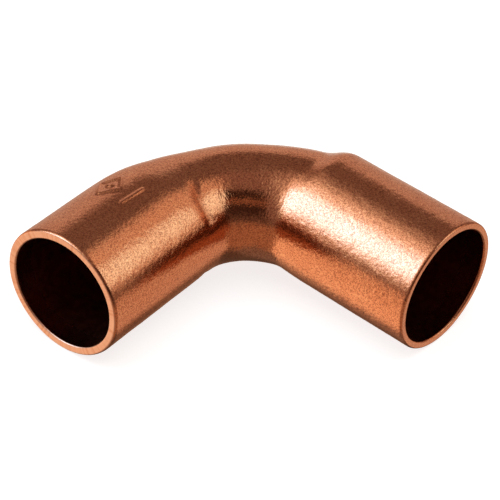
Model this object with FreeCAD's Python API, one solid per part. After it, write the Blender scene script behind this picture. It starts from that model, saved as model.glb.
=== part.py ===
# Copper 90 degree pipe elbow with two capillary (solder) cups, formed from one
# length of tube: the bend keeps the drawn tube's diameter and both ends are
# expanded into cups.  Millimetres, +Z up, elbow lying in the XY plane.
# Origin: centre of the mouth of cup A, on cup A's axis.  Cup A opens along +X.
# Cup B opens along -Y.  The two cup axes cross at (-REACH_A, 0, 0).
import FreeCAD, Part
import os
import math
from FreeCAD import Vector

# ---- driving dimensions -------------------------------------------------
REACH_A = 32.86        # cup A mouth to the crossing of the two axes
REACH_B = 33.34        # cup B mouth to the crossing of the two axes
BEND_R = 13.34         # radius of the arc that joins the two cup axes

CUP_A_R = 7.62         # cup bore radii, for 15 mm tube
CUP_B_R = 7.53
CUP_DEPTH = 12.00      # mouth face to the tube stop, both cups
STOP = 0.20            # height of the stop ledge at the cup's foot

OUT_A_R = 8.66         # outside radius of the cups at the mouth
OUT_B_R = 8.65
TAPER_A = 0.011        # the cups narrow by this much per mm towards the bend
TAPER_B = 0.013

TUBE_UPRIGHT = 7.60    # half height of the bent tube
WALL = 1.05            # wall of the bent tube
# bent tube's edge in the plane of the elbow, measured from the path of the cup
# axes: outside of the bend at the A end, in the middle and at the B end, and
# inside of the bend
EDGE_A = 7.49
EDGE_MID = 5.14
EDGE_B = 5.45
EDGE_IN = 8.43

# shoulders, where a cup narrows to the bent tube: distance from the mouth to
# the start and the length, at 0, 45, 90, 135 and 180 degrees round from the
# outside of the bend
START_A, LENGTH_A = (18.3, 18.8, 17.9, 16.5, 16.5), (4.0, 3.5, 3.8, 7.5, 7.5)
START_B, LENGTH_B = (7.3, 12.9, 14.5, 16.0, 17.0), (15.0, 13.9, 8.0, 4.5, 4.0)

EDGE_OUT = 0.22        # chamfers on the mouth edges
EDGE_IN_A = 0.14
EDGE_IN_B = 0.10

SECTION_POINTS = 24
# -------------------------------------------------------------------------

RUN_A = REACH_A - BEND_R
ARC = BEND_R * math.pi / 2.0
RUN_B = REACH_B - BEND_R
TOTAL = RUN_A + ARC + RUN_B


def smooth(t):
    t = min(1.0, max(0.0, t))
    return t * t * t * (t * (6.0 * t - 15.0) + 10.0)


def around(values, cosine):
    """Value at an angle round the section: the polynomial in the cosine that
    takes the five values at 0, 45, 90, 135 and 180 degrees."""
    knots = [math.cos(math.radians(d)) for d in (0, 45, 90, 135, 180)]
    total = 0.0
    for i, value in enumerate(values):
        term = value
        for j, k in enumerate(knots):
            if j != i:
                term *= (cosine - k) / (knots[i] - k)
        total += term
    return total


def narrowing(dist, shoulder, cosine):
    starts, lengths = shoulder
    return smooth((dist - around(starts, cosine)) / around(lengths, cosine))


def tube(s):
    """Half width of the bent tube in the plane of the elbow, and how far its
    centre lies inside the path."""
    mid = min(1.0, max(0.0, (s - RUN_A + 3.0) / (ARC + 6.0)))
    edge = (EDGE_MID + (EDGE_A - EDGE_MID) * (1.0 - smooth(2.0 * mid))
            + (EDGE_B - EDGE_MID) * (1.0 - smooth(2.0 - 2.0 * mid)))
    return 0.5 * (edge + EDGE_IN), 0.5 * (EDGE_IN - edge)


def station(s):
    """Point on the path and its outward normal, s millimetres from mouth A."""
    if s <= RUN_A:
        return Vector(-s, 0, 0), Vector(0, 1, 0)
    if s >= RUN_A + ARC:
        return (Vector(-REACH_A, -BEND_R - (s - RUN_A - ARC), 0), Vector(-1, 0, 0))
    a = (s - RUN_A) / BEND_R
    n = Vector(-math.sin(a), math.cos(a), 0)
    centre = Vector(BEND_R - REACH_A, -BEND_R, 0)
    return centre + n * BEND_R, n


def section(s, inside):
    """Points round the section, s millimetres from mouth A."""
    p, n = station(s)
    on_a = s < RUN_A + ARC / 2.0
    dist = s if on_a else TOTAL - s
    shoulder = (START_A, LENGTH_A) if on_a else (START_B, LENGTH_B)
    half_w, shift = tube(s)
    if inside:
        r = (CUP_A_R if on_a else CUP_B_R) - STOP
        thin = WALL
    else:
        r = OUT_A_R - TAPER_A * dist if on_a else OUT_B_R - TAPER_B * dist
        thin = 0.0
    pts = []
    for i in range(SECTION_POINTS):
        phi = 2.0 * math.pi * i / SECTION_POINTS
        c, q = math.cos(phi), math.sin(phi)
        w = narrowing(dist, shoulder, c)
        u = (1.0 - w) * r * c + w * ((half_w - thin) * c - shift)
        z = ((1.0 - w) * r + w * (TUBE_UPRIGHT - thin)) * q
        pts.append(p + n * u + Vector(0, 0, z))
    return pts


def ring_poles(pts):
    """Control points of the closed uniform cubic spline through the points."""
    m = len(pts)
    poles = list(pts)
    for _ in range(60):
        for i in range(m):
            poles[i] = (pts[i] * 6.0 - poles[i - 1] - poles[(i + 1) % m]) * 0.25
    return poles


def skin(rows):
    """Solid inside one smooth surface through the sections, with flat ends."""
    around_poles = [ring_poles(r) for r in rows]
    m = len(rows[0])
    params = [float(i) for i in range(len(rows))]
    columns = []
    for j in range(m):
        c = Part.BSplineCurve()
        c.interpolate(Points=[r[j] for r in around_poles], Parameters=params)
        columns.append(c)
    vknots, vmults = columns[0].getKnots(), columns[0].getMultiplicities()
    poles = [c.getPoles() for c in columns]
    surface = Part.BSplineSurface()
    surface.buildFromPolesMultsKnots(
        poles, [1] * (m + 1), vmults, [float(i) for i in range(m + 1)], vknots,
        True, False, 3, 3)
    side = surface.toShape()
    ends = [e for e in side.Edges if e.isClosed()]
    caps = [Part.Face(Part.Wire([e])) for e in ends]
    shell = Part.Shell([side] + caps)
    solid = Part.Solid(shell)
    if solid.Volume < 0:
        solid.reverse()
    return solid


def stations(first, last):
    """Sections close together over the shoulders, further apart elsewhere."""
    marks = [first]
    while True:
        s = marks[-1]
        on_a = s < RUN_A + ARC / 2.0
        dist = s if on_a else TOTAL - s
        start, end = (16.5, 24.0) if on_a else (7.0, 24.0)
        near = start - 1.5 < dist < end + 1.5
        step = 0.9 if near and on_a else (1.2 if near else 2.2)
        if s + 1.5 * step > last:
            break
        marks.append(s + step)
    marks.append(last)
    return marks


# outside of the whole elbow, from mouth to mouth
outer = skin([section(s, False) for s in stations(0.0, TOTAL)])
# waterway, from inside one cup to inside the other
inner = skin([section(s, True)
              for s in stations(CUP_DEPTH - 1.0, TOTAL - CUP_DEPTH + 1.0)])

mouth_a, out_a = Vector(0, 0, 0), Vector(1, 0, 0)
mouth_b, out_b = Vector(-REACH_A, -REACH_B, 0), Vector(0, -1, 0)

cup_a = Part.makeCylinder(CUP_A_R, CUP_DEPTH + 1.0, mouth_a + out_a, -out_a)
cup_b = Part.makeCylinder(CUP_B_R, CUP_DEPTH + 1.0, mouth_b + out_b, -out_b)

body = outer.cut(inner).cut(cup_a).cut(cup_b)

# mouth edges: a small chamfer inside and outside
for mouth, out, bore, inner_edge, outside in (
        (mouth_a, out_a, CUP_A_R, EDGE_IN_A, OUT_A_R),
        (mouth_b, out_b, CUP_B_R, EDGE_IN_B, OUT_B_R)):
    lead = Part.makeCone(bore - 0.5, bore + inner_edge + 0.5,
                         inner_edge + 1.0, mouth - out * (inner_edge + 0.5), out)
    body = body.cut(lead)
    ring = Part.makeCylinder(outside + 2.0, EDGE_OUT + 1.0, mouth - out * EDGE_OUT, out)
    keep = Part.makeCone(outside + 0.02, outside - EDGE_OUT - 0.98,
                         EDGE_OUT + 1.0, mouth - out * EDGE_OUT, out)
    body = body.cut(ring.cut(keep))

solids = body.Solids
assert len(solids) == 1, len(solids)
elbow = solids[0]
assert elbow.isValid()

os.makedirs("parts", exist_ok=True)
elbow.exportStep("parts/elbow_body.step")
print("elbow_body volume mm3", round(elbow.Volume, 1), "box", elbow.BoundBox)
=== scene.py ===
import bpy
import math
import numpy as np
from mathutils import Matrix, Vector


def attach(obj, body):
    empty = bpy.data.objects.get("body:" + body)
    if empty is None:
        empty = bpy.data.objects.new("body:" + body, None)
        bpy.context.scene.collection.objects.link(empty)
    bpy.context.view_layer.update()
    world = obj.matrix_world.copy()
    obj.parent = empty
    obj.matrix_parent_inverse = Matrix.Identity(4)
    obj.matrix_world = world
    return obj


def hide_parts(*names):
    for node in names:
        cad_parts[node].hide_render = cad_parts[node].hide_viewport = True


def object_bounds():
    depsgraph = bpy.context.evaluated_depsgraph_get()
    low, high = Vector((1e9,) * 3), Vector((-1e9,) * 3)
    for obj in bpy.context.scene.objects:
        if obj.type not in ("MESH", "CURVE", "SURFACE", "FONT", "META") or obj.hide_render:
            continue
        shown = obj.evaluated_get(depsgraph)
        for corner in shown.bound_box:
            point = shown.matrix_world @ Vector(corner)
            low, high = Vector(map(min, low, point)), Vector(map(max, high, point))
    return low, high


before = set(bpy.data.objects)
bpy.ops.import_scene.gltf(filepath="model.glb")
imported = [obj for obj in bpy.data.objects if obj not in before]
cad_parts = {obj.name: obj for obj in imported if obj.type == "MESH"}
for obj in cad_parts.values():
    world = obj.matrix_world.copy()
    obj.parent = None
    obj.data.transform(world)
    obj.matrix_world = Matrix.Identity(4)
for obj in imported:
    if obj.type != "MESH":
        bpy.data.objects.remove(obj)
cad_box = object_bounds()

MM = 0.001
# ------------------------------------------------------------ shape, millimetres
# the same driving numbers as the CAD part; origin at the mouth of cup A
REACH_A, REACH_B, BEND_R = 32.86, 33.34, 13.34
CUP_A_R, CUP_B_R, CUP_DEPTH, STOP = 7.69, 7.50, 12.0, 0.20
OUT_A_R, OUT_B_R, TAPER_A, TAPER_B = 8.66, 8.65, 0.011, 0.013
TUBE_H, WALL = 7.60, 1.05
# bent tube's edge outside and inside the bend, from the path of the cup axes
EDGE_A, EDGE_MID, EDGE_B, EDGE_IN = 7.49, 5.14, 5.45, 8.43
# start and length of the shoulders at 0, 45, 90, 135 and 180 degrees round from
# the outside of the bend
START_A, LENGTH_A = (18.3, 18.8, 17.9, 16.5, 16.5), (4.0, 3.5, 3.8, 7.5, 7.5)
START_B, LENGTH_B = (7.3, 12.9, 14.5, 16.0, 17.0), (15.0, 13.9, 8.0, 4.5, 4.0)
RUN_A = REACH_A - BEND_R
RUN_B = REACH_B - BEND_R
ARC = BEND_R * math.pi / 2
TOTAL = RUN_A + ARC + RUN_B

# polynomial in the cosine through five values a quarter of a half turn apart
_COS = np.cos(np.radians([0, 45, 90, 135, 180]))
_INV = np.linalg.inv(np.vander(_COS, 5, increasing=True))


def smooth(t):
    t = np.clip(t, 0, 1)
    return t * t * t * (t * (6 * t - 15) + 10)


def around(v, c):
    k = _INV @ np.asarray(v, float)
    return k[0] + c * (k[1] + c * (k[2] + c * (k[3] + c * k[4])))


def bump(x, c, w):
    return np.exp(-((x - c) / w) ** 2)


def path(s):
    """point on the path of the cup axes and its outward normal, for s mm from mouth A"""
    a = np.clip((s - RUN_A) / BEND_R, 0, math.pi / 2)
    nx, ny = -np.sin(a), np.cos(a)
    px = np.where(s < RUN_A, -s, np.where(s > RUN_A + ARC, -REACH_A, BEND_R - REACH_A + BEND_R * nx))
    py = np.where(s < RUN_A, 0, np.where(s > RUN_A + ARC, -BEND_R - (s - RUN_A - ARC), -BEND_R + BEND_R * ny))
    return px, py, nx, ny


def tube(s):
    """half width of the bent tube in its plane, and how far its centre lies inside the path"""
    mid = np.clip((s - RUN_A + 3) / (ARC + 6), 0, 1)
    e = (EDGE_MID + (EDGE_A - EDGE_MID) * (1 - smooth(2 * mid))
         + (EDGE_B - EDGE_MID) * (1 - smooth(2 - 2 * mid)))
    return (e + EDGE_IN) / 2, (EDGE_IN - e) / 2


def waves(s, ph, seed, n, amp, ks=(0.12, 0.9), km=(0, 7)):
    """sum of seeded long waves round and along the tube, in mm"""
    rng = np.random.RandomState(seed)
    out = 0
    for _ in range(n):
        m = rng.randint(km[0], km[1])
        k = rng.uniform(*ks)
        out = out + rng.uniform(.4, 1) * np.cos(m * ph + rng.uniform(0, 6.28)) * np.cos(k * s + rng.uniform(0, 6.28))
    return amp * out / math.sqrt(n)


def section(s, ph, inside=False):
    """local outward (u) and up (z) offsets from the path"""
    c, q = np.cos(ph), np.sin(ph)
    on_a = s < RUN_A + ARC / 2
    dist = np.where(on_a, s, TOTAL - s)
    st = np.where(on_a, around(START_A, c), around(START_B, c))
    ln = np.where(on_a, around(LENGTH_A, c), around(LENGTH_B, c))
    w = smooth((dist - st) / ln)
    if inside:
        r = np.where(on_a, CUP_A_R, CUP_B_R) - STOP * smooth((dist - CUP_DEPTH) / 0.25)
        thin = WALL
    else:
        r = np.where(on_a, OUT_A_R - TAPER_A * dist, OUT_B_R - TAPER_B * dist)
        thin = 0.0
    half, shift = tube(s)
    u = (1 - w) * r * c + w * ((half - thin) * c - shift)
    z = ((1 - w) * r + w * (TUBE_H - thin)) * q
    return u, z


def stroke(x, y, x0, y0, x1, y1):
    """distance from a point to a straight stroke"""
    dx, dy = x1 - x0, y1 - y0
    t = np.clip(((x - x0) * dx + (y - y0) * dy) / (dx * dx + dy * dy), 0, 1)
    return np.hypot(x - x0 - t * dx, y - y0 - t * dy)


def mark(s, ph):
    """plain raised lozenge outline with a dot, and a raised bar, on the back of cup B, in mm"""
    x = TOTAL - s                                   # distance from mouth B
    y = 8.6 * (ph - math.radians(68.5))             # round the cup
    cx, cy, hx, hy = 11.95, 0.0, 2.15, 1.75
    corners = [(cx - hx, cy), (cx, cy - hy), (cx + hx, cy), (cx, cy + hy)]
    d = np.full(np.broadcast(x, y).shape, 9.0)
    for i in range(4):
        d = np.minimum(d, stroke(x, y, *corners[i], *corners[(i + 1) % 4]))
    d = np.minimum(d, np.hypot(x - cx, y - cy) - 0.25)
    bar = stroke(x, y, 9.9, 8.6 * math.radians(92.3 - 68.5), 13.7, 8.6 * math.radians(93.8 - 68.5))
    return 0.21 * np.exp(-(d / 0.25) ** 2) + 0.15 * np.exp(-(bar / 0.23) ** 2)


def crease(s, ph, width):
    """mask of the crease where the tube leaves cup B, on the upper and lower flanks"""
    deg = np.degrees(np.where(ph > math.pi, 2 * math.pi - ph, ph))
    fade = smooth((deg - 94) / 24) * (1 - smooth((deg - 140) / 24))
    foot = TOTAL - s - (19.75 - 1.05 * smooth((deg - 100) / 26))
    return fade * bump(foot, 0, width)


def detail(s, ph):
    """relief of the outside skin in mm: slow forming waves, the crease at cup B's foot, a few knocks, grain"""
    d = waves(s, ph, 3, 26, 0.012)
    d = d + waves(s, ph, 11, 30, 0.005, (0.8, 2.6), (3, 16))
    d = d - 0.17 * crease(s, ph, 0.78)
    rng = np.random.RandomState(29)
    for _ in range(30):
        s0, p0 = rng.uniform(2, TOTAL - 2), rng.uniform(0, 2 * math.pi)
        w, a = rng.uniform(.35, 1.0), rng.uniform(.008, .03)
        dp = (ph - p0 + math.pi) % (2 * math.pi) - math.pi
        d = d - a * np.exp(-((s - s0) / w) ** 2 - (dp * 8 / w) ** 2)
    rng = np.random.RandomState(41)
    g = rng.normal(0, 1, d.shape)
    g2 = rng.normal(0, 1, d.shape)
    k = np.array([1, 4, 6, 4, 1]) / 16.0
    for ax in (0, 1):
        g2 = sum(w_ * np.roll(g2, o - 2, ax) for o, w_ in enumerate(k))
    m_ = mark(s, ph)
    return d + m_ + GRAIN * (g + 1.8 * g2) * np.clip(1 - m_ / 0.12, 0.25, 1)


def place(s, ph, u, z):
    px, py, nx, ny = path(s)
    return np.stack([px + u * nx, py + u * ny, z + 0 * nx], -1)


GRAIN = 0.0060       # mm, height of the tumbled surface's grain
# stations along the tube, close enough together to carry the grain
NPH = 320
phi = np.arange(NPH) * 2 * math.pi / NPH
ds = 0.155
n_out = int(TOTAL / ds)
s_out = np.linspace(0, TOTAL, n_out)


def rows_outer():
    s = s_out[:, None]
    ph = phi[None, :]
    u, z = section(s, ph)
    e = detail(s, ph)
    k = 1 + e / np.hypot(u, z)
    return place(s, ph, u * k, z * k)


STROKES = {}


def mouth_rows(side):
    """rim from the outer skin, over the mouth face, to the bore"""
    r_out, r_in = (OUT_A_R, CUP_A_R) if side == "A" else (OUT_B_R, CUP_B_R)
    if side == "A":
        prof = [(0.42, 0), (0.26, 0.012), (0.15, 0.045), (0.07, 0.10), (0.02, 0.17), (0.0, 0.26)]
        inner = [(0.0, 0.24), (0.02, 0.16), (0.07, 0.08), (0.15, 0.02), (0.30, 0.0)]
    else:
        prof = [(0.48, 0), (0.30, 0.02), (0.17, 0.06), (0.08, 0.12), (0.025, 0.20), (0.0, 0.30)]
        inner = [(0.0, 0.20), (0.02, 0.12), (0.06, 0.06), (0.12, 0.015), (0.24, 0.0)]
    rows = []
    rng = np.random.RandomState(5 if side == "A" else 7)
    ph = phi
    wob = 0.012 * np.cos(2 * ph + 1.0) + 0.010 * np.cos(3 * ph + 2.2) + 0.006 * np.cos(7 * ph)
    face = [("o", d, cut) for d, cut in prof]
    nface = 7
    a, b = r_out - prof[-1][1], r_in + inner[0][1]
    for i in range(1, nface):
        face.append(("f", a + (b - a) * i / nface, 0))
    face += [("i", d, cut) for d, cut in inner]
    # saw and file marks across the face, one set of seeded strokes
    marks = np.zeros(NPH)
    for _ in range(260):
        marks += rng.uniform(0, 1) ** 2 * np.exp(-(((ph - rng.uniform(0, 6.28) + math.pi) % 6.2832 - math.pi) / rng.uniform(.006, .014)) ** 2)
    STROKES[side] = marks
    for kind, v, cut in face:
        if kind == "o":
            dist, rad = v, r_out - cut
        elif kind == "f":
            dist, rad = 0.0, v
        else:
            dist, rad = v, r_in + cut
        dd = dist + (0.022 * marks if kind == "f" else 0.012 * marks * (dist < .1)) + wob * (dist < .3)
        dd = np.maximum(dd, 0.0)
        if side == "A":
            s = dd
        else:
            s = TOTAL - dd
        rows.append(place(s, ph, rad * np.cos(ph), rad * np.sin(ph)))
    return rows


outer = rows_outer()
keep = (s_out > 0.5) & (s_out < TOTAL - 0.5)
outer = outer[keep]
s_in = np.unique(np.concatenate([np.linspace(0.5, 11.8, 24), np.linspace(11.95, 12.35, 6), np.linspace(12.6, TOTAL - 12.6, 110),
                                 np.linspace(TOTAL - 12.35, TOTAL - 11.95, 6), np.linspace(TOTAL - 11.8, TOTAL - .5, 24)]))
u, z = section(s_in[:, None], phi[None, :], True)
inner = place(s_in[:, None], phi[None, :], u, z)
A = mouth_rows("A")
B = mouth_rows("B")
rows = list(outer) + B + list(inner[::-1]) + A[::-1]
V = np.array(rows) * MM
nr = len(rows)
print("rows", nr, "verts", nr * NPH)

idx = np.arange(nr * NPH).reshape(nr, NPH)
a_ = idx
b_ = np.roll(idx, -1, 1)
c_ = np.roll(np.roll(idx, -1, 0), -1, 1)
d_ = np.roll(idx, -1, 0)
F = np.stack([a_, d_, c_, b_], -1).reshape(-1, 4)
me = bpy.data.meshes.new("elbow_copper")
me.vertices.add(len(V.reshape(-1, 3)))
me.vertices.foreach_set("co", V.reshape(-1).astype(np.float32))
me.loops.add(F.size)
me.loops.foreach_set("vertex_index", F.reshape(-1).astype(np.int32))
me.polygons.add(len(F))
me.polygons.foreach_set("loop_start", (np.arange(len(F)) * 4).astype(np.int32))
me.update(calc_edges=True)
me.validate()
me.polygons.foreach_set("use_smooth", [True] * len(me.polygons))

# masks that the material reads: bore (how deep inside; its colour darkens with depth, partly oxide and partly painted
# shade), rim (mouth face; only 0.3 on mouth A, a painted shade)
n_o, n_b, n_i, n_a = len(outer), len(B), len(inner), len(A)
bore = np.zeros(nr)
rim = np.zeros(nr)
rim[n_o + 4:n_o + n_b - 1] = 1
# mouth A's face gets only 0.3 of the pale cut-face colour and strokes: painted shade, as that mouth faces away from the
# key light
rim[nr - n_a + 3:nr - 4] = .3
depth = np.minimum(s_in, TOTAL - s_in)[::-1]
# oxide mix grows from a quarter at the mouth to full about 4 mm in: the bore's dark oxide, deepened inward as painted
# shade in the recess
bore[n_o + n_b:n_o + n_b + n_i] = np.clip(0.25 + depth / 5.0, 0, 1)
bore[n_o + n_b - 2:n_o + n_b] = .2
bore[nr - n_a:nr - n_a + 2] = .2
cut = np.zeros((nr, NPH))
cut[n_o:n_o + n_b] = np.clip(STROKES["B"], 0, 1) * rim[n_o:n_o + n_b, None]
cut[nr - n_a:] = np.clip(STROKES["A"], 0, 1) * rim[nr - n_a:, None]
at = me.attributes.new("cut", "FLOAT", "POINT")
at.data.foreach_set("value", cut.reshape(-1).astype(np.float32))
# painted shade in the crease at cup B's foot, as a mask the material reads
crease_shade = np.zeros((nr, NPH))
crease_shade[:n_o] = crease(s_out[keep][:, None] - 0.1, phi[None, :], 0.62)
at = me.attributes.new("crease_shade", "FLOAT", "POINT")
at.data.foreach_set("value", crease_shade.reshape(-1).astype(np.float32))
for name, arr in (("bore", bore), ("rim", rim)):
    at = me.attributes.new(name, "FLOAT", "POINT")
    at.data.foreach_set("value", np.repeat(arr, NPH).astype(np.float32))
elbow = bpy.data.objects.new("elbow_copper", me)
bpy.context.scene.collection.objects.link(elbow)


# ------------------------------------------------------------ material
def nodes_of(mat):
    mat.use_nodes = True
    nt = mat.node_tree
    nt.nodes.clear()
    return nt


def N(nt, kind, **kw):
    n = nt.nodes.new(kind)
    for k, v in kw.items():
        if k.startswith("in_"):
            n.inputs[k[3:]].default_value = v
        else:
            setattr(n, k, v)
    return n


def ramp(nt, src, pts):
    r = N(nt, "ShaderNodeValToRGB")
    el = r.color_ramp.elements
    while len(el) < len(pts):
        el.new(0.5)
    for e, (p, col) in zip(el, pts):
        e.position = p
        e.color = col if len(col) == 4 else (*col, 1)
    nt.links.new(src, r.inputs[0])
    return r


def math_(nt, op, a, b=None, c=None, clamp=False):
    n = N(nt, "ShaderNodeMath", operation=op, use_clamp=clamp)
    for i, v in enumerate((a, b, c)):
        if v is None:
            continue
        if isinstance(v, (int, float)):
            n.inputs[i].default_value = v
        else:
            nt.links.new(v, n.inputs[i])
    return n.outputs[0]


copper = bpy.data.materials.new("copper_tumbled")
nt = nodes_of(copper)
out = N(nt, "ShaderNodeOutputMaterial")
bs = N(nt, "ShaderNodeBsdfPrincipled")
nt.links.new(bs.outputs[0], out.inputs[0])
tc = N(nt, "ShaderNodeTexCoord")
P = tc.outputs["Object"]
a_bore = N(nt, "ShaderNodeAttribute", attribute_name="bore").outputs["Fac"]
a_rim = N(nt, "ShaderNodeAttribute", attribute_name="rim").outputs["Fac"]


def noise(scale, detail=2.0, rough=.5, dist=0.0):
    n = N(nt, "ShaderNodeTexNoise")
    n.inputs["Scale"].default_value = scale
    n.inputs["Detail"].default_value = detail
    n.inputs["Roughness"].default_value = rough
    n.inputs["Distortion"].default_value = dist
    nt.links.new(P, n.inputs["Vector"])
    return n.outputs["Fac"]


grain = noise(5200, 2.0, .6)          # tumbling grain, about 0.2 mm
fine = noise(14000, 1.0, .5)
patch = noise(190, 4.0, .6)           # tarnish patches, several mm
blot = noise(900, 3.0, .6)

col = ramp(nt, patch, [(0.30, (0.84, 0.415, 0.265)), (0.5, (0.90, 0.46, 0.30)), (0.70, (0.93, 0.495, 0.33))])
# dark oxide colour of the bore, also standing in as painted shade deeper inside
oxide_and_shade = ramp(nt, blot, [(0.35, (0.30, 0.11, 0.06)), (0.65, (0.42, 0.17, 0.09))])
# tumbling leaves each grain a little lighter or darker
speck = N(nt, "ShaderNodeMapRange")
nt.links.new(math_(nt, "ADD", math_(nt, "MULTIPLY", grain, .6), math_(nt, "MULTIPLY", fine, .4)), speck.inputs["Value"])
speck.inputs["From Min"].default_value = .40
speck.inputs["From Max"].default_value = .60
speck.inputs["To Min"].default_value = .50
speck.inputs["To Max"].default_value = 1.42
tint = N(nt, "ShaderNodeMix", data_type="RGBA", blend_type="MULTIPLY")
tint.inputs["Factor"].default_value = 1.0
nt.links.new(col.outputs[0], tint.inputs["A"])
nt.links.new(speck.outputs[0], tint.inputs["B"])
# painted shade: the colour darkened in the crease at cup B's foot
a_crease_shade = N(nt, "ShaderNodeAttribute", attribute_name="crease_shade").outputs["Fac"]
crease_shade_mix = N(nt, "ShaderNodeMix", data_type="RGBA", blend_type="MULTIPLY")
nt.links.new(a_crease_shade, crease_shade_mix.inputs["Factor"])
nt.links.new(tint.outputs["Result"], crease_shade_mix.inputs["A"])
crease_shade_mix.inputs["B"].default_value = (0.56, 0.44, 0.38, 1)
mix1 = N(nt, "ShaderNodeMix", data_type="RGBA")
nt.links.new(a_bore, mix1.inputs["Factor"])
nt.links.new(crease_shade_mix.outputs["Result"], mix1.inputs["A"])
nt.links.new(oxide_and_shade.outputs[0], mix1.inputs["B"])
rimc = N(nt, "ShaderNodeMix", data_type="RGBA")
nt.links.new(a_rim, rimc.inputs["Factor"])
nt.links.new(mix1.outputs["Result"], rimc.inputs["A"])
a_cut = N(nt, "ShaderNodeAttribute", attribute_name="cut").outputs["Fac"]
edge = N(nt, "ShaderNodeMix", data_type="RGBA")
nt.links.new(math_(nt, "MULTIPLY", a_cut, .9), edge.inputs["Factor"])
edge.inputs["A"].default_value = (1.0, 0.76, 0.66, 1)
edge.inputs["B"].default_value = (0.86, 0.54, 0.40, 1)
nt.links.new(edge.outputs["Result"], rimc.inputs["B"])
nt.links.new(rimc.outputs["Result"], bs.inputs["Base Color"])
bs.inputs["Metallic"].default_value = 1.0

ro = N(nt, "ShaderNodeMapRange")
nt.links.new(blot, ro.inputs["Value"])
ro.inputs["From Min"].default_value = .3
ro.inputs["From Max"].default_value = .7
ro.inputs["To Min"].default_value = .07
ro.inputs["To Max"].default_value = .12
ro2 = math_(nt, "ADD", ro.outputs[0], math_(nt, "MULTIPLY", a_bore, .22))
ro3 = math_(nt, "ADD", ro2, math_(nt, "MULTIPLY", a_rim, .22))
nt.links.new(ro3, bs.inputs["Roughness"])

h = math_(nt, "ADD", math_(nt, "MULTIPLY", grain, 1.0), math_(nt, "MULTIPLY", fine, .35))
bm = N(nt, "ShaderNodeBump")
bm.inputs["Strength"].default_value = 1.0
bm.inputs["Distance"].default_value = 0.000015
nt.links.new(h, bm.inputs["Height"])
nt.links.new(bm.outputs[0], bs.inputs["Normal"])
me.materials.append(copper)

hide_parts("elbow_body")
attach(elbow, "root")

# ------------------------------------------------------------ floor
lo, hi = cad_box
cx, cy = (lo[0] + hi[0]) / 2, (lo[1] + hi[1]) / 2
fm = bpy.data.meshes.new("floor")
S = 1.2
fm.from_pydata([(cx - S, cy - S, lo[2]), (cx + S, cy - S, lo[2]), (cx + S, cy + S, lo[2]), (cx - S, cy + S, lo[2])], [], [(0, 1, 2, 3)])
floor = bpy.data.objects.new("floor", fm)
bpy.context.scene.collection.objects.link(floor)
fmat = bpy.data.materials.new("floor_pale")
ft = nodes_of(fmat)
fo = N(ft, "ShaderNodeOutputMaterial")
fb = N(ft, "ShaderNodeBsdfPrincipled")
fb.inputs["Base Color"].default_value = (0.4, 0.4, 0.4, 1)
fb.inputs["Roughness"].default_value = 0.9
fb.inputs["Specular IOR Level"].default_value = 0.1
fb.inputs["Emission Color"].default_value = (1, 1, 1, 1)
fb.inputs["Emission Strength"].default_value = 0.80
ft.links.new(fb.outputs[0], fo.inputs[0])
fm.materials.append(fmat)
floor.visible_glossy = False

# ------------------------------------------------------------ studio: a world of soft boxes and flags
world = bpy.data.worlds.new("studio")
bpy.context.scene.world = world
world.use_nodes = True
wt = world.node_tree
wt.nodes.clear()
wo = N(wt, "ShaderNodeOutputWorld")
wtc = N(wt, "ShaderNodeTexCoord")
sep = N(wt, "ShaderNodeSeparateXYZ")
wt.links.new(wtc.outputs["Generated"], sep.inputs[0])
X, Y, Z = sep.outputs


def m(op, a, b=None, c=None, clamp=False):
    return math_(wt, op, a, b, c, clamp)


DEG = 180 / math.pi
el = m("MULTIPLY", m("ARCSINE", Z), DEG)
# azimuth from -Y towards +X, in degrees
az = m("MULTIPLY", m("ARCTAN2", X, m("MULTIPLY", Y, -1.0)), DEG)


def step_(v, lo_, hi_):
    n = N(wt, "ShaderNodeMapRange", interpolation_type="SMOOTHSTEP", clamp=True)
    wt.links.new(v, n.inputs["Value"])
    n.inputs["From Min"].default_value = lo_
    n.inputs["From Max"].default_value = hi_
    n.inputs["To Min"].default_value = 0
    n.inputs["To Max"].default_value = 1
    return n.outputs[0]


def box_(a0, a1, e0, e1, sa=6.0, se=6.0):
    """mask of a card between azimuths a0..a1 and elevations e0..e1 with soft edges; a0 may be below -180"""
    mid = (a0 + a1) / 2
    half = (a1 - a0) / 2
    # wrapped distance from the middle azimuth
    d = m("SUBTRACT", az, mid)
    d = m("SUBTRACT", d, m("MULTIPLY", m("ROUND", m("DIVIDE", d, 360.0)), 360.0))
    d = m("ABSOLUTE", d)
    ha = m("SUBTRACT", 1.0, step_(d, half - sa, half + sa))
    e_lo = step_(el, e0 - se, e0 + se)
    e_hi = m("SUBTRACT", 1.0, step_(el, e1 - se, e1 + se))
    return m("MULTIPLY", ha, m("MULTIPLY", e_lo, e_hi))


def over(base, mask, colr):
    n = N(wt, "ShaderNodeMix", data_type="RGBA")
    wt.links.new(mask, n.inputs["Factor"])
    if isinstance(base, tuple):
        n.inputs["A"].default_value = (*base, 1)
    else:
        wt.links.new(base, n.inputs["A"])
    n.inputs["B"].default_value = (*colr, 1)
    return n.outputs["Result"]


def disc_(a0, e0, r_in, r_out, squash=1.0):
    """round soft source centred at an azimuth and elevation, full inside r_in and nothing past r_out, in degrees"""
    a0, e0 = math.radians(a0), math.radians(e0)
    v = N(wt, "ShaderNodeVectorMath", operation="DOT_PRODUCT")
    nv = N(wt, "ShaderNodeVectorMath", operation="NORMALIZE")
    wt.links.new(wtc.outputs["Generated"], nv.inputs[0])
    wt.links.new(nv.outputs[0], v.inputs[0])
    v.inputs[1].default_value = (math.sin(a0) * math.cos(e0), -math.cos(a0) * math.cos(e0), math.sin(e0))
    ang = m("MULTIPLY", m("ARCCOSINE", m("MINIMUM", m("MAXIMUM", v.outputs["Value"], -1.0), 1.0)), DEG)
    return m("SUBTRACT", 1.0, step_(ang, r_in, r_out))


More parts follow.
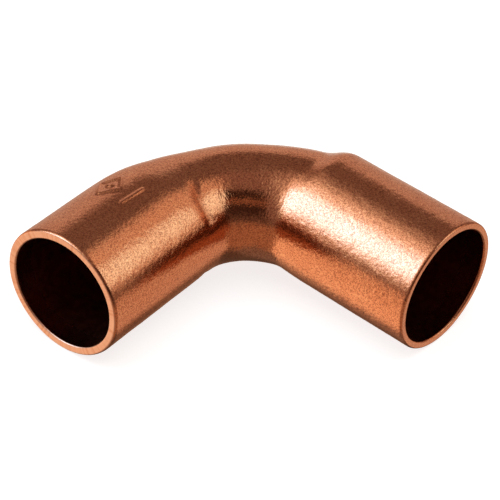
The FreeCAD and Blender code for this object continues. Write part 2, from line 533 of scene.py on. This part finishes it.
sky = over((0.348, 0.157, 0.081), step_(el, -12, -4), (0.245, 0.130, 0.090))
sky = over(sky, m("SUBTRACT", 1.0, step_(el, -68, -56)), (0.213, 0.124, 0.084))
sky = over(sky, box_(110, 240, -84, -52, 12, 7), (0.106, 0.059, 0.038))
sky = over(sky, box_(-100, -24, -62, -2, 7, 5), (0.960, 0.545, 0.320))
sky = over(sky, box_(122, 168, -50, -5, 8, 5), (0.610, 0.340, 0.212))
sky = over(sky, box_(-200, -116, 26, 100, 10, 5), (0.185, 0.102, 0.070))
sky = over(sky, box_(-120, -98, 26, 58, 8, 5), (0.33, 0.195, 0.133))
sky = over(sky, box_(-158, -122, -34, 26, 5, 5), (0.548, 0.345, 0.253))
sky = over(sky, box_(-150, -136, -36, -18, 5, 5), (0.774, 0.670, 0.600))
sky = over(sky, box_(21, 106, -8, 26, 8, 4), (0.048, 0.021, 0.013))
sky = over(sky, box_(-2, 119, -11, 3, 12, 4), (0.125, 0.062, 0.040))
sky = over(sky, box_(96, 138, -7, 3, 6, 3), (0.200, 0.105, 0.066))
sky = over(sky, disc_(141, 32, 22, 37), (0.696, 0.413, 0.259))
sky = over(sky, disc_(122, 30, 12, 21), (1.100, 0.990, 0.760))
sky = over(sky, box_(28, 105, 32, 50, 5, 3), (0.048, 0.021, 0.013))
sky = over(sky, box_(24, 105, 27.2, 31.2, 5, 1.5), (0.38, 0.135, 0.053))
sky = over(sky, disc_(-48, 44, 31, 50), (0.46, 0.31, 0.22))
sky = over(sky, disc_(-48, 40, 26, 43), (0.84, 0.60, 0.43))
sky = over(sky, disc_(-51, 36, 19, 36), (1.30, 1.05, 0.86))
sky = over(sky, disc_(-46, 34, 9, 27), (1.90, 2.45, 3.05))
bg_studio = N(wt, "ShaderNodeBackground")
wt.links.new(sky, bg_studio.inputs[0])
bg_plain = N(wt, "ShaderNodeBackground")
bg_plain.inputs[0].default_value = (1, 1, 1, 1)
lp = N(wt, "ShaderNodeLightPath")
mx = N(wt, "ShaderNodeMixShader")
wt.links.new(lp.outputs["Is Camera Ray"], mx.inputs[0])
wt.links.new(bg_studio.outputs[0], mx.inputs[1])
wt.links.new(bg_plain.outputs[0], mx.inputs[2])
wt.links.new(mx.outputs[0], wo.inputs[0])

# overhead softbox for the floor only
ld = bpy.data.lights.new("overhead", "AREA")
ld.shape = "SQUARE"
ld.size = 0.9
ld.energy = 6.0
lo_ = bpy.data.objects.new("overhead", ld)
lo_.location = (cx, cy, 0.8)
lo_.visible_glossy = False
lo_.visible_camera = False
bpy.context.scene.collection.objects.link(lo_)

# ------------------------------------------------------------ camera
K = 0.70
az_c, el_c, roll_c = math.radians(36.453), math.radians(41.216), math.radians(4.941)
tgt = Vector((16.222 * K - 32.88, -16.378 * K + 0.04, 0)) * MM
dist_c = 750.0 * K * MM
back = Vector((math.sin(az_c) * math.cos(el_c), -math.cos(az_c) * math.cos(el_c), math.sin(el_c)))
right = Vector((math.cos(az_c), math.sin(az_c), 0))
up = back.cross(right)
r2 = math.cos(roll_c) * right + math.sin(roll_c) * up
u2 = -math.sin(roll_c) * right + math.cos(roll_c) * up
cam = bpy.data.cameras.new("camera")
cam.sensor_width = 36.0
cam.lens = math.exp(1.7447) * 750.0 / 500.0 * 36.0
cam.clip_start = 0.01
cam.clip_end = 20
co = bpy.data.objects.new("camera", cam)
M = Matrix((r2, u2, back)).transposed().to_4x4()
M.translation = tgt + back * dist_c
co.matrix_world = M
bpy.context.scene.collection.objects.link(co)
bpy.context.scene.camera = co
vs = bpy.context.scene.view_settings
vs.view_transform = "Standard"
vs.look = "None"

bpy.context.view_layer.update()
